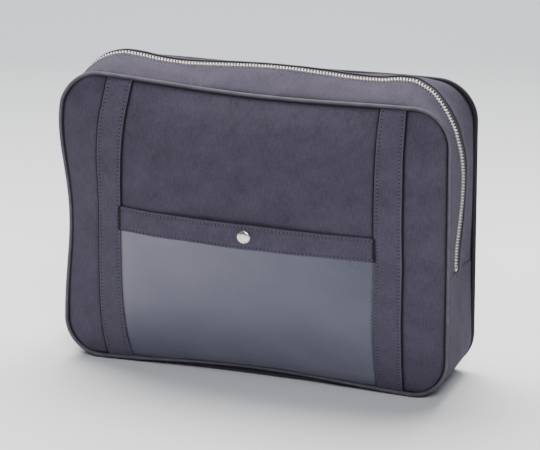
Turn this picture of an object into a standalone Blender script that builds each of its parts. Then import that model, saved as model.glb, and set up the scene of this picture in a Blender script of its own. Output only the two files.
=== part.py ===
"""A canvas cash deposit bag: two crowned panels with piped edges, joined by a gusset that a zip splits over
the top, with two straps, a clear pocket and a snap on its front. Metres, +Z up, the front faces -Y."""

from math import acos, cos, pi, sin, sqrt

import bmesh
import bpy
import numpy as np
from mathutils import Matrix, Vector

# The bag
SIDE = 0.1879        # half the width, to the middle of the piping
BOTTOM = 0.0024      # height of the piping's middle below and above
TOP = 0.2852
ZIP_Y = 0.0044       # the zip's line lies behind the middle, as the snap stands out in front
HALF_DEPTH = 0.0413  # from the zip to the middle of the piping
CORNER = 0.036
CROWN = 0.036        # how far each panel swells past its piping
CROWN_ACROSS, CROWN_UP = 3.3, 3.0   # how suddenly it falls away at the sides, and at the top and bottom
EVEN = 0.0025        # moves the bag to the right, so that its middle is over the origin
CLOTH = 0.0012
PIPE = 0.0021        # the piping's radius
GAP = 0.0004

# How the filled cloth has settled
SIDE_PINCH, SHOULDER = 0.0060, 0.0051      # the left side goes in at mid-height, and out above
BOTTOM_ARCH, TOP_SAG, SETTLE_REACH = 0.0083, 0.0055, 0.08
SPREAD, SPREAD_LOW = 0.0039, 0.85    # the straps' middles are pushed apart, the right one's lower down
FALL_LEFT, FALL_MIDDLE = 0.0114, -0.0078   # the back's top edge falls at its left end
# How far the zip's line stands out past the piping's, by distance round the panel from the bottom's middle
RIDGE = (
    (0.0, BOTTOM), (0.146, BOTTOM), (0.220, 0.001), (0.283, -0.0049), (0.308, -0.0043), (0.348, -0.0006),
    (0.391, 0.0007), (0.408, -0.0021), (0.447, -0.0084), (0.484, 0.0123), (0.516, 0.0092), (0.611, 0.0095),
    (0.733, 0.0046), (0.770, 0.0094), (0.796, 0.0017), (0.840, 0.0005), (0.872, -0.0050), (0.986, -0.0050),
    (1.040, 0.0), (1.110, BOTTOM), (1.260, BOTTOM),
)

# The mouth: the zip ends here, and the back folds about its two ends
ZIP_END = 0.113
FOLD_LOW, FOLD_HIGH = 0.090, 0.157   # the stretch of the back that crumples
GUSSET_FOLD = 0.167
ZIP_PIVOT = Vector((0.0, ZIP_Y, ZIP_END))

# The zip
TAPE_REACH = 0.016    # from the zip's middle to the tape's hidden edge
TAPE = 0.0006
STRIP_EDGE = 0.0075   # from the zip's middle to the gusset's folded edge
TEETH_GAP, TEETH_REACH, TEETH = 0.0009, 0.0034, 0.0018
CHAIN_LOW = 0.1305    # the chain shows above the slider
STOP_WIDE, STOP_LONG, STOP_PROUD, STOP_BEVEL = 0.0026, 0.0020, 0.0006, 0.0003
STOP_LEFT, STOP_RIGHT, STOP_APART = 0.1138, 0.1150, 0.0021
SLIDER_LOW, SLIDER_LONG, SLIDER_WIDE = 0.1165, 0.0125, 0.0094
PLATE, MOUTH_GAP, FLANGE, LIP = 0.0008, 0.0036, 0.0010, 0.0008
WEDGE_WIDE, WEDGE_LONG = 0.0012, 0.0045
BRIDGE_RISE, BRIDGE_WIDE, BRIDGE_LONG, BRIDGE = 0.0034, 0.0022, 0.0076, 0.0009
BRIDGE_STEPS = 12
PULL_LONG, PULL_WIDE, PULL, EYE_WIDE, EYE_LONG = 0.026, 0.0070, 0.0011, 0.0038, 0.0042
PULL_STANDS = 0.0013   # from the bridge's feet to the pull's axis

# The front
STRAP_X, STRAP_WIDE, WEB = 0.1332, 0.0245, 0.0016
EDGE_MARGIN = 0.0042    # from the middle of the piping to the straps' and the window's ends
BAND_LOW, BAND_HIGH, BAND_DROOP = 0.1430, 0.1670, 0.0022   # its right end hangs lower
POCKET_REACH = STRAP_X - STRAP_WIDE / 2 - GAP
VINYL, VINYL_TUCK = 0.0007, 0.0055    # the window's top edge is tucked this far behind the band
SNAP_X, SNAP_Z, SNAP_LIFT = 0.002, 0.1555, 0.0025
# The snap's pieces, as (radius, rise) pairs from the middle of the base round to the middle of the face
CAP_PROFILE = ((0, 0), (0.0061, 0), (0.0065, 0.0005), (0.0059, 0.0014), (0.0039, 0.0021), (0, 0.0024))
SOCKET_PROFILE = ((0.0024, 0), (0.0058, 0), (0.0058, 0.0008), (0.0036, 0.0021), (0.0024, 0.0021))
STUD_PROFILE = (
    (0, 0), (0.0056, 0), (0.0056, 0.0005), (0.0027, 0.0008), (0.0015, 0.0014), (0.0019, 0.0017),
    (0.0015, 0.0023), (0, 0.0023),
)
RIVET_PROFILE = ((0, 0), (0.0045, 0), (0.0045, 0.0004), (0.0028, 0.0008), (0, 0.0008))
BINDING_NEAR, BINDING_FAR, BINDING = 0.0042, 0.0100, 0.0014

FLAT, TALL, ARC = SIDE - CORNER, TOP - BOTTOM - 2 * CORNER, CORNER * pi / 2
AROUND = 4 * FLAT + 2 * TALL + 4 * ARC
GUSSET_STEPS = 60
FLOOR_FLAT = 0.81     # the share of the bottom that lies flat

FINISHES = {
    "canvas": ((0.075, 0.070, 0.100), 0.85, 0.0),
    "lining": ((0.050, 0.047, 0.065), 0.80, 0.0),
    "piping": ((0.090, 0.085, 0.125), 0.70, 0.0),
    "webbing": ((0.080, 0.074, 0.108), 0.80, 0.0),
    "tape": ((0.030, 0.028, 0.036), 0.85, 0.0),
    "vinyl": ((0.260, 0.270, 0.340), 0.25, 0.0),
    "nickel": ((0.780, 0.765, 0.720), 0.25, 1.0),
}


def clear_scene():
    for thing in list(bpy.data.objects):
        bpy.data.objects.remove(thing, do_unlink=True)


def finish(name):
    """The material of this name, made when it is first asked for."""
    if name in bpy.data.materials:
        return bpy.data.materials[name]
    colour, roughness, metallic = FINISHES[name]
    material = bpy.data.materials.new(name)
    material.use_nodes = True
    shader = material.node_tree.nodes["Principled BSDF"]
    shader.inputs["Base Color"].default_value = (*colour, 1.0)
    shader.inputs["Roughness"].default_value = roughness
    shader.inputs["Metallic"].default_value = metallic
    return material


def add(name, data, material):
    thing = bpy.data.objects.new(name, data)
    bpy.context.scene.collection.objects.link(thing)
    data.materials.append(finish(material))
    return thing


# The bag's form


def through(knots, at):
    """A smooth run through (place, value) pairs."""
    places = [place for place, _ in knots]
    values = [value for _, value in knots]
    step = int(np.clip(np.searchsorted(places, at) - 1, 0, len(knots) - 2))
    part = np.clip((at - places[step]) / (places[step + 1] - places[step]), 0, 1)
    return values[step] + (values[step + 1] - values[step]) * part * part * (3 - 2 * part)


def outline(distance, inset=0.0):
    """A point (x, z) of the outline and its outward direction, right and up from the bottom's middle."""
    if distance > AROUND / 2:
        point, out = outline(AROUND - distance, inset)
        return Vector((-point.x, point.y)), Vector((-out.x, out.y))
    if distance < FLAT:
        point, out = Vector((distance, BOTTOM)), Vector((0, -1))
    elif distance < FLAT + ARC:
        turn = (distance - FLAT) / CORNER - pi / 2
        out = Vector((cos(turn), sin(turn)))
        point = Vector((FLAT, BOTTOM + CORNER)) + CORNER * out
    elif distance < FLAT + ARC + TALL:
        point, out = Vector((SIDE, BOTTOM + CORNER + distance - FLAT - ARC)), Vector((1, 0))
    elif distance < FLAT + 2 * ARC + TALL:
        turn = (distance - FLAT - ARC - TALL) / CORNER
        out = Vector((cos(turn), sin(turn)))
        point = Vector((FLAT, TOP - CORNER)) + CORNER * out
    else:
        point, out = Vector((AROUND / 2 - distance, TOP)), Vector((0, 1))
    return point - inset * out, out


def up_side(height):
    """The distance along the outline to this height on its right side."""
    return FLAT + ARC + height - BOTTOM - CORNER


def half_width(z, inset=0.0):
    """Half the panel's width at this height, in from the outline by inset."""
    dip = max(BOTTOM + CORNER - z, z - (TOP - CORNER), 0.0)
    return FLAT + sqrt(max((CORNER - inset) ** 2 - dip**2, 0.0))


def up_share(z):
    """How far up the panel this height is, from 0 to 1."""
    return float(np.clip((z - BOTTOM) / (TOP - BOTTOM), 0, 1))


def settle(x, z, back=False):
    """Where filling moves a point (x, z) of the front panel, or of the back one."""
    up = up_share(z)
    middle = cos(pi * x / (2 * SIDE)) ** 2
    side = SIDE_PINCH * sin(pi * up) ** 4 - SHOULDER * sin(pi * up**3) ** 2
    bulge = sin(pi * up ** (SPREAD_LOW if x > 0 else 1))
    spread = SPREAD * x / STRAP_X * bulge * (1 - min(abs(x) / half_width(z), 1) ** 8)
    arch = BOTTOM_ARCH * middle * max(1 - (z - BOTTOM) / SETTLE_REACH, 0) ** 2
    sag = TOP_SAG * middle * max(1 - (TOP - z) / SETTLE_REACH, 0) ** 2
    fall = 0.0
    if back:
        left = (1 - x / SIDE) / 2
        fall = (FALL_LEFT * left**2 + 2 * FALL_MIDDLE * left * (1 - left)) * up**3
    return Vector((x + EVEN + side * max(-x / SIDE, 0) ** 3 + spread, z + arch - sag - fall))


def swell(x, z):
    """The panel's crown at (x, z), as a share of its greatest."""
    across = min(abs(x) / half_width(z), 1)
    up = abs(2 * up_share(z) - 1)
    return (1 - across**CROWN_ACROSS) * (1 - up**CROWN_UP)


def on_front(x, z, lift=0.0):
    place = settle(x, z)
    return Vector((place.x, ZIP_Y - HALF_DEPTH - CROWN * swell(x, z) - lift, place.y))


def on_back(x, z):
    place = settle(x, z, back=True)
    return Vector((place.x, ZIP_Y + HALF_DEPTH + CROWN * swell(x, z), place.y))


def on_gusset(distance, y, sink=0.0):
    """A point of the gusset, y behind the zip. It bows between the piping lines by way of the zip."""
    point, out = outline(distance)
    edge = settle(*point, back=y > 0)
    middle = point + out * through(RIDGE, distance) + Vector((EVEN, 0))
    across = abs(y) / HALF_DEPTH
    upright = min(max((point.y - BOTTOM) / CORNER, 0), 1)
    flat_floor = 1 if across < FLOOR_FLAT else (1 - across) / (1 - FLOOR_FLAT)
    bow = (1 - across**2) * upright + flat_floor * (1 - upright)
    place = edge + (middle - edge) * bow - out * sink
    return Vector((place.x, ZIP_Y + y, place.y))


# Makers


def sheet(name, material, place, columns, rows, thickness):
    """A sheet of cloth on place(u, v), u and v from 0 to 1, thickened behind its face."""
    grid = bmesh.new()
    bmesh.ops.create_grid(grid, x_segments=columns, y_segments=rows, size=0.5)
    for vert in grid.verts:
        vert.co = place(vert.co.x + 0.5, vert.co.y + 0.5)
    mesh = bpy.data.meshes.new(name)
    grid.to_mesh(mesh)
    grid.free()
    thing = add(name, mesh, material)
    wall = thing.modifiers.new("Solidify", "SOLIDIFY")
    wall.thickness = thickness
    wall.offset = -1
    wall.use_even_offset = True
    return thing


def cord(name, material, points, radius, closed=False):
    curve = bpy.data.curves.new(name, "CURVE")
    curve.dimensions = "3D"
    curve.bevel_depth = radius
    curve.bevel_resolution = 1
    curve.use_fill_caps = not closed
    spline = curve.splines.new("POLY")
    spline.points.add(len(points) - 1)
    for corner, place in zip(spline.points, points):
        corner.co = (*place, 1)
    spline.use_cyclic_u = closed
    return add(name, curve, material)


def turned(name, material, profile, centre, steps=24):
    """A solid turned about the line through centre along -Y. Its profile is (radius, rise) pairs."""
    solid = bmesh.new()
    corners = [solid.verts.new((radius, -rise, 0)) for radius, rise in profile]
    for here, after in zip(corners, corners[1:]):
        solid.edges.new((here, after))
    if profile[0][0] > 0:
        solid.edges.new((corners[-1], corners[0]))
    whole = solid.verts[:] + solid.edges[:]
    bmesh.ops.spin(
        solid, geom=whole, cent=(0, 0, 0), axis=(0, 1, 0), angle=2 * pi, steps=steps, use_merge=True
    )
    bmesh.ops.remove_doubles(solid, verts=solid.verts, dist=1e-6)
    bmesh.ops.recalc_face_normals(solid, faces=solid.faces)
    mesh = bpy.data.meshes.new(name)
    solid.to_mesh(mesh)
    solid.free()
    mesh.shade_smooth()
    mesh.set_sharp_from_angle(angle=0.6)
    thing = add(name, mesh, material)
    thing.location = centre
    return thing


def block(name, material, low, high, bevel=0.0):
    low, high = Vector(low), Vector(high)
    solid = bmesh.new()
    bmesh.ops.create_cube(solid, size=1)
    bmesh.ops.scale(solid, vec=high - low, verts=solid.verts)
    mesh = bpy.data.meshes.new(name)
    solid.to_mesh(mesh)
    solid.free()
    thing = add(name, mesh, material)
    thing.location = (low + high) / 2
    if bevel:
        edge = thing.modifiers.new("Bevel", "BEVEL")
        edge.width = bevel
        edge.segments = 1
    return thing


def pivot(name, place):
    empty = bpy.data.objects.new(name, None)
    bpy.context.scene.collection.objects.link(empty)
    empty.location = place
    return empty


def hang(things, empty):
    """Makes the empty the things' parent, with each mesh's origin moved onto it."""
    for thing in things:
        thing.data.transform(Matrix.Translation(thing.location - empty.location))
        thing.location = (0, 0, 0)
        thing.parent = empty


# The panels, the gusset and their piping


def panel(name, surface, low, high, mirrored):
    """The part of a panel between two heights, inside its piping. Its rows crowd towards the corners."""
    inset = PIPE + 2 * GAP
    middle, half = (BOTTOM + TOP) / 2, (TOP - BOTTOM) / 2 - inset
    start, end = (acos(np.clip((middle - height) / half, -1, 1)) for height in (low, high))

    def place(u, v):
        z = middle - half * cos(start + (end - start) * v)
        x = half_width(z, inset) * (2 * u - 1)
        return surface(-x if mirrored else x, z)

    return sheet(name, "canvas", place, 18, max(round((end - start) * 5), 3), CLOTH)


def bottom_gusset():
    """The strip under the bag and up both sides to the zip's ends."""
    edge = HALF_DEPTH - PIPE - GAP

    def place(u, v):
        y = edge * (1 - 2 * v)
        reach = up_side(ZIP_END - GAP)
        return on_gusset((2 * u - 1) * reach % AROUND, y)

    return sheet("bottom_gusset", "canvas", place, 46, 6, CLOTH)


def gusset_strip(name, side, low):
    """One half of the gusset, from the piping to the zip, up one side, over the top and down the other."""
    start = up_side(low)
    near, far = side * STRIP_EDGE, side * (HALF_DEPTH - PIPE - GAP)
    rows = (far, near) if side > 0 else (near, far)

    def place(u, v):
        return on_gusset(start + (AROUND - 2 * start) * u, rows[0] + (rows[1] - rows[0]) * v)

    return sheet(name, "canvas", place, GUSSET_STEPS, 3, CLOTH)


def gusset_fold(name, hand):
    """The stretch of the back gusset beside the zip's end, which crumples as the mouth opens."""
    low, high = up_side(ZIP_END + GAP), up_side(GUSSET_FOLD - GAP)
    near, far = STRIP_EDGE, HALF_DEPTH - PIPE - GAP

    def place(u, v):
        distance = low + (high - low) * (u if hand > 0 else 1 - u)
        return on_gusset(distance if hand > 0 else AROUND - distance, far + (near - far) * v)

    return sheet(name, "canvas", place, 5, 3, CLOTH)


def edge_line(side, start, end, steps):
    """Points on the piping's line between two distances round the panel."""
    points = []
    for step in range(steps + 1):
        point, _ = outline((start + (end - start) * step / steps) % AROUND)
        place = settle(*point, back=side > 0)
        points.append(Vector((place.x, ZIP_Y + side * HALF_DEPTH, place.y)))
    return points


def piping():
    cord("front_piping", "piping", edge_line(-1, 0, AROUND, 90)[:-1], PIPE, closed=True)
    low, high = up_side(FOLD_LOW), up_side(FOLD_HIGH)
    cord("back_piping_lower", "piping", edge_line(1, -low, low, 44), PIPE)
    cord("back_piping_fold_right", "piping", edge_line(1, low + GAP, high - GAP, 5), PIPE)
    cord("back_piping_fold_left", "piping", edge_line(1, AROUND - low - GAP, AROUND - high + GAP, 5), PIPE)
    return cord("back_piping_upper", "piping", edge_line(1, high, AROUND - high, 48), PIPE)


def binding(name, side, start, end):
    """The tape that binds the seam inside the bag, standing in from the corner at 45 degrees."""

    def place(u, v):
        reach = BINDING_NEAR + (BINDING_FAR - BINDING_NEAR) * (v if side < 0 else 1 - v)
        point, out = outline((start + (end - start) * u) % AROUND)
        place = settle(*point, back=side > 0) - out * reach
        return Vector((place.x, ZIP_Y + side * (HALF_DEPTH - reach), place.y))

    return sheet(name, "lining", place, 44, 1, BINDING)


# The zip


def zip_tape(name, side, low):
    start = up_side(low)
    near, far = side * TEETH_GAP, side * TAPE_REACH
    rows = (far, near) if side > 0 else (near, far)

    def place(u, v):
        y = rows[0] + (rows[1] - rows[0]) * v
        return on_gusset(start + (AROUND - 2 * start) * u, y, sink=CLOTH + 2 * GAP)

    return sheet(name, "tape", place, GUSSET_STEPS, 1, TAPE)


def zip_teeth(name, side, low):
    """One side's row of teeth, as a bar clamped over the tape's edge."""
    start = up_side(low)
    near, far = side * TEETH_GAP, side * TEETH_REACH
    rows = (far, near) if side > 0 else (near, far)

    def place(u, v):
        y = rows[0] + (rows[1] - rows[0]) * v
        return on_gusset(start + (AROUND - 2 * start) * u, y, sink=CLOTH - TEETH)

    return sheet(name, "nickel", place, GUSSET_STEPS, 1, TEETH - GAP)


def chain_x(hand):
    """The outer face of the gusset beside the zip's end, on the right (1) or the left (-1)."""
    distance = up_side(ZIP_END)
    return on_gusset(distance if hand > 0 else AROUND - distance, 0).x


def zip_stops():
    """One stop joins both tapes at the right end, and one on each tape ends the slider's run at the left."""
    stops = (
        ("zip_stop_right", 1, 0.0, 2 * STOP_WIDE, STOP_RIGHT),
        ("zip_stop_left_front", -1, -STOP_APART, STOP_WIDE, STOP_LEFT),
        ("zip_stop_left_back", -1, STOP_APART, STOP_WIDE, STOP_LEFT),
    )
    for name, hand, y, wide, low in stops:
        face = chain_x(hand)
        ends = sorted((face + hand * STOP_PROUD, face - hand * CLOTH))
        near, far = ZIP_Y + y - wide / 2, ZIP_Y + y + wide / 2
        block(name, "nickel", (ends[0], near, low), (ends[1], far, low + STOP_LONG), STOP_BEVEL)


def slider_body():
    """Two plates on a wedge, which straddle the two tapes, the outer one with a lip down each side."""
    middle = chain_x(-1) + MOUTH_GAP / 2 - TEETH / 2
    wide, low, high = SLIDER_WIDE / 2, SLIDER_LOW, SLIDER_LOW + SLIDER_LONG
    inner, outer = middle + MOUTH_GAP / 2, middle - MOUTH_GAP / 2
    body = block("slider_body", "nickel", (outer - PLATE, ZIP_Y - wide, low), (outer, ZIP_Y + wide, high))
    half = WEDGE_WIDE / 2
    pieces = {
        "inner_plate": ((inner, -wide, low), (inner + PLATE, wide, high)),
        "wedge": ((outer - PLATE / 2, -half, low), (inner + PLATE / 2, half, low + WEDGE_LONG)),
        "front_lip": ((outer - PLATE / 2, -wide, low), (outer + LIP, FLANGE - wide, high)),
        "back_lip": ((outer - PLATE / 2, wide - FLANGE, low), (outer + LIP, wide, high)),
    }
    shift = Vector((0, ZIP_Y, 0))
    for name, (corner, far) in pieces.items():
        tool = helper(block(name, "nickel", Vector(corner) + shift, Vector(far) + shift))
        join = body.modifiers.new(name, "BOOLEAN")
        join.operation = "UNION"
        join.object = tool
    return body, outer - PLATE - GAP


def helper(thing):
    """Marks a cutter, or a piece that a Boolean joins to another."""
    thing.hide_render = True
    thing.display_type = "WIRE"
    return thing


def slider_bridge(floor):
    """A flat bar bent to an arch on the slider, which the pull hangs from."""
    middle = SLIDER_LOW + SLIDER_LONG / 2
    solid = bmesh.new()
    rings = []
    for step in range(BRIDGE_STEPS + 1):
        turn = pi * step / BRIDGE_STEPS
        out = Vector((-(sin(turn) ** 0.6), 0, cos(turn)))
        ring = []
        for rise, reach in ((BRIDGE_RISE, BRIDGE_LONG / 2), (BRIDGE_RISE - BRIDGE, BRIDGE_LONG / 2 - BRIDGE)):
            for side in (-1, 1):
                corner = (floor + rise * out.x, ZIP_Y + side * BRIDGE_WIDE / 2, middle + reach * out.z)
                ring.append(solid.verts.new(corner))
        rings.append(ring)
    order = (0, 1, 3, 2)
    for here, after in zip(rings, rings[1:]):
        for a, b in zip(order, order[1:] + order[:1]):
            solid.faces.new((here[a], here[b], after[b], after[a]))
    for ring in (rings[0], rings[-1]):
        solid.faces.new([ring[corner] for corner in order])
    bmesh.ops.recalc_face_normals(solid, faces=solid.faces)
    mesh = bpy.data.meshes.new("slider_bridge")
    solid.to_mesh(mesh)
    solid.free()
    return add("slider_bridge", mesh, "nickel")


def pull_tab(floor):
    """The pull: a flat tongue whose eye holds the bridge. Its axis runs through the bar above the eye."""
    axis = Vector((floor - PULL_STANDS, ZIP_Y, SLIDER_LOW + SLIDER_LONG / 2))
    half, bar = Vector((PULL / 2, PULL_WIDE / 2, 0)), PULL / 2
    foot, head = axis - half + Vector((0, 0, bar - PULL_LONG)), axis + half + Vector((0, 0, bar))
    tab = block("pull_tab", "nickel", foot, head)
    low, high = axis - Vector((0.01, EYE_WIDE / 2, bar + EYE_LONG)), axis + Vector((0.01, EYE_WIDE / 2, -bar))
    eye = helper(block("pull_eye", "nickel", low, high))
    cut = tab.modifiers.new("Eye", "BOOLEAN")
    cut.operation = "DIFFERENCE"
    cut.object = eye
    return [tab, eye], axis


# The front's straps, pocket and snap


def strap(name, x):
    def place(u, v):
        z = BOTTOM + EDGE_MARGIN + (TOP - BOTTOM - 2 * EDGE_MARGIN) * v
        return on_front(x + STRAP_WIDE * (u - 0.5), z, 2 * GAP + WEB)

    return sheet(name, "webbing", place, 2, 16, WEB)


def pocket_window():
    low, high = BOTTOM + EDGE_MARGIN, BAND_LOW + VINYL_TUCK

    def place(u, v):
        return on_front(POCKET_REACH * (2 * u - 1), low + (high - low) * v, 2 * GAP + VINYL)

    return sheet("pocket_window", "vinyl", place, 14, 9, VINYL)


def band_lift(x):
    """How far the back of the band stands off the panel: the snap holds its middle away."""
    return 3 * GAP + VINYL + SNAP_LIFT * cos(pi * x / (2 * POCKET_REACH)) ** 2


def pocket_band():
    def place(u, v):
        x = POCKET_REACH * (2 * u - 1)
        z = BAND_LOW + (BAND_HIGH - BAND_LOW) * v - BAND_DROOP * max(x / POCKET_REACH, 0) ** 2
        return on_front(x, z, band_lift(x) + WEB)

    return sheet("pocket_band", "webbing", place, 14, 2, WEB)


def snap():
    """The press stud: a cap and a socket on the band, a stud and a rivet's head on the panel."""
    panel_face = on_front(SNAP_X, SNAP_Z)
    band_back = on_front(SNAP_X, SNAP_Z, band_lift(SNAP_X))
    cap = turned("snap_cap", "nickel", CAP_PROFILE, band_back - Vector((0, WEB + GAP, 0)))
    inwards = [(radius, -rise) for radius, rise in SOCKET_PROFILE]
    socket = turned("snap_socket", "nickel", inwards, band_back + Vector((0, GAP, 0)))
    turned("snap_stud", "nickel", STUD_PROFILE, panel_face - Vector((0, GAP, 0)))
    inwards = [(radius, -rise) for radius, rise in RIVET_PROFILE]
    turned("snap_rivet", "nickel", inwards, panel_face + Vector((0, CLOTH + GAP, 0)))
    return [cap, socket]


def main():
    clear_scene()
    panel("front_panel", on_front, BOTTOM, TOP, mirrored=False)
    strap("strap_left", -STRAP_X)
    strap("strap_right", STRAP_X)
    pocket_window()
    bottom_gusset()
    gusset_strip("gusset_strip_front", -1, ZIP_END + GAP)
    gusset_fold("gusset_fold_left", -1)
    gusset_fold("gusset_fold_right", 1)
    panel("back_panel_lower", on_back, BOTTOM, FOLD_LOW, mirrored=True)
    panel("back_panel_fold", on_back, FOLD_LOW + GAP, FOLD_HIGH - GAP, mirrored=True)
    binding("seam_binding_front", -1, 0.001, AROUND - 0.001)
    low = up_side(FOLD_LOW)
    binding("seam_binding_back_lower", 1, -low, low)
    zip_tape("zip_tape_front", -1, ZIP_END + GAP)
    zip_teeth("zip_teeth_front", -1, CHAIN_LOW)
    zip_stops()
    flap = [
        panel("back_panel_upper", on_back, FOLD_HIGH, TOP, mirrored=True),
        gusset_strip("gusset_strip_back", 1, GUSSET_FOLD),
        piping(),
        binding("seam_binding_back_upper", 1, up_side(FOLD_HIGH), AROUND - up_side(FOLD_HIGH)),
        zip_tape("zip_tape_back", 1, CHAIN_LOW),
        zip_teeth("zip_teeth_back", 1, CHAIN_LOW),
    ]
    hang(flap, pivot("mouth_axis", ZIP_PIVOT))
    pocket = [pocket_band(), *snap()]
    hang(pocket, pivot("pocket_pull", on_front(SNAP_X, SNAP_Z)))
    body, floor = slider_body()
    bridge = slider_bridge(floor)
    slider = pivot("slider_start", body.location)
    pulled, axis = pull_tab(floor)
    hang(pulled, pivot("pull_axis", axis))
    hang([body, bridge], slider)


main()
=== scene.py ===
"""The looks of a filled canvas cash deposit bag: crowned panels with piped edges, a metal zip over the top,
two sewn straps and a clear pocket with a snap. Metres, +Z up, the front faces -Y."""

from math import cos, exp, pi, radians, sin, sqrt

import bmesh
import bpy
import numpy as np
from mathutils import Matrix, Vector, noise


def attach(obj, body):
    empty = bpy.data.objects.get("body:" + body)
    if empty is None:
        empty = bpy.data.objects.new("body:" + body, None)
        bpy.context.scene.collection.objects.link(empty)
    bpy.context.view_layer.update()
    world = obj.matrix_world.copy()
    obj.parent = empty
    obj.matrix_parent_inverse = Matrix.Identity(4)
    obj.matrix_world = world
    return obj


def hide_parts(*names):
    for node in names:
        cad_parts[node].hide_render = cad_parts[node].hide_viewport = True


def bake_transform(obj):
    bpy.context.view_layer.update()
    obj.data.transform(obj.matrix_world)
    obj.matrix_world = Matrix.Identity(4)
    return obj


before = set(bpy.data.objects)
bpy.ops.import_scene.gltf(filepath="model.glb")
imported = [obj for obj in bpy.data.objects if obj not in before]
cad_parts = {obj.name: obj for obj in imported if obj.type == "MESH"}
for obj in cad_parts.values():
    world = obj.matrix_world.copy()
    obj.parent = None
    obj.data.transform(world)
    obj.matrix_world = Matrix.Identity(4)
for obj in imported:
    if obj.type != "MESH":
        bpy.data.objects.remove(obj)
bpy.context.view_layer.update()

# The bag's form. The frame has the same values, apart from RIDGE and STRIP_EDGE, which follow the zip more
# closely here, a thinner VINYL and a POCKET_REACH without the frame's gap.
SIDE, BOTTOM, TOP = 0.1879, 0.0024, 0.2852   # to the middle of the piping
ZIP_Y, HALF_DEPTH, CORNER, CROWN, EVEN = 0.0044, 0.0413, 0.036, 0.036, 0.0025
CROWN_ACROSS, CROWN_UP, FLOOR_FLAT = 3.3, 3.0, 0.81
SIDE_PINCH, SHOULDER = 0.0060, 0.0051
SPREAD, SPREAD_LOW = 0.0039, 0.85    # the straps' middles are pushed apart, the right one's lower down
BOTTOM_ARCH, TOP_SAG, SETTLE_REACH = 0.0083, 0.0055, 0.08
FALL_LEFT, FALL_MIDDLE = 0.0114, -0.0078
# How far out of the outline the zip's line is, by the distance round it from the bottom's middle
RIDGE = (
    (0.0, BOTTOM), (0.146, BOTTOM), (0.220, 0.001), (0.262, -0.0045), (0.284, -0.0058), (0.305, -0.0054),
    (0.330, -0.0030), (0.356, -0.0008), (0.382, -0.0003), (0.402, -0.0025), (0.418, -0.0066), (0.432, -0.0091),
    (0.446, -0.0084), (0.460, -0.0041), (0.474, 0.0045), (0.488, 0.0110), (0.502, 0.0110), (0.520, 0.0083),
    (0.545, 0.0074), (0.575, 0.0084), (0.610, 0.0093), (0.645, 0.0082), (0.680, 0.0055), (0.710, 0.0036),
    (0.735, 0.0042), (0.755, 0.0064), (0.772, 0.0073), (0.788, 0.0037), (0.804, 0.0009), (0.840, 0.0),
    (0.872, -0.0045), (0.900, -0.0052), (0.930, -0.0050), (0.986, -0.0050), (1.040, 0.0), (1.110, BOTTOM),
    (1.260, BOTTOM),
)
FLAT, TALL, ARC = SIDE - CORNER, TOP - BOTTOM - 2 * CORNER, CORNER * pi / 2
AROUND = 4 * FLAT + 2 * TALL + 4 * ARC
ZIP_END = 0.113

# Cloth and trim
CLOTH, PIPE, WEB, VINYL, TAPE, BINDING = 0.0012, 0.0021, 0.0016, 0.0006, 0.0006, 0.0014
TUCKED, GUSSET_IN = 0.0008, 0.0006   # how far the panels and the gusset end inside the piping's line
STRIP_EDGE = {-1: 0.0046, 1: 0.0088}   # from the zip's middle to the gusset's folded edges, front and back
STRIP_RISE, STRIP_SLOPE = {-1: 0.0007, 1: 0.0025}, 0.006   # how far those edges stand up, and over what width
# The piping's crease on the gusset gets painted shade; CREASE_TOP and CREASE_SIDE are how far it reaches
CREASE_TOP, CREASE_SIDE = 0.0022, 0.0040   # how far the piping's dark crease reaches onto the gusset
# The chain sinks at the left shoulder: how deep, and where it goes down and comes up, each with its length
SINK, SINK_FROM, SINK_TO = 0.0024, (0.812, 0.030), (0.900, 0.040)
STRAP_X, STRAP_WIDE = 0.1332, 0.0245
BAND_LOW, BAND_HIGH, BAND_DROOP = 0.1430, 0.1670, 0.0022   # its right end hangs lower
VINYL_TUCK = 0.0055   # the window's top edge is tucked this far behind the band
POCKET_REACH = STRAP_X - STRAP_WIDE / 2
SNAP_X, SNAP_Z, SNAP_LIFT = 0.002, 0.1555, 0.0025
STITCH, STITCH_STEP, THREAD, DIMPLE = 0.0024, 0.0036, 0.00040, 0.00050
SEAM_IN = 0.0026      # a row of stitches runs this far in from an edge
TOOTH_STEP, TOOTH_REACH, TOOTH_HEAD = 0.0030, 0.0027, 0.0008
TOOTH_WIDE, TOOTH_TALL, TOOTH_BEVEL = 0.00125, 0.0024, 0.00032
WEAVE = 0.00062       # from thread to thread
# Near black for the painted shade in creases at seams and where the piping is tucked in
CREASE_SHADE = (0.005, 0.005, 0.008, 1)

# The press stud's profiles: (radius, rise) from the axis
CAP_PROFILE = (
    (0, 0), (0.0060, 0), (0.0065, 0.0003), (0.0065, 0.0009), (0.0056, 0.0017), (0.0034, 0.0023), (0, 0.0025),
)
SOCKET_PROFILE = (
    (0.0024, 0), (0.0058, 0), (0.0058, -0.0009), (0.0036, -0.0013), (0.0036, -0.0021), (0.0024, -0.0021),
)
STUD_PROFILE = (
    (0, 0), (0.0056, 0), (0.0056, 0.0005), (0.0027, 0.0009), (0.0015, 0.0013), (0.0019, 0.0018),
    (0.0015, 0.0023), (0, 0.0024),
)
RIVET_PROFILE = ((0, 0), (0.0045, 0), (0.0045, -0.0004), (0.0028, -0.0009), (0, -0.0009))

# The rest of the hardware has the frame's own shapes
FRAME_METAL = (
    "slider_body", "slider_bridge", "pull_tab", "zip_stop_right", "zip_stop_left_front", "zip_stop_left_back",
)

# The camera: round to the right, up, and turned about its own axis, in degrees, then metres and millimetres
AZIMUTH, ELEVATION, ROLL, DISTANCE, LENS, SENSOR = 18.30, 20.51, 0.262, 5.415, 384.8, 36.0
AIM = (EVEN + 0.0006, ZIP_Y, 0.1382)


# The bag's form


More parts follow.
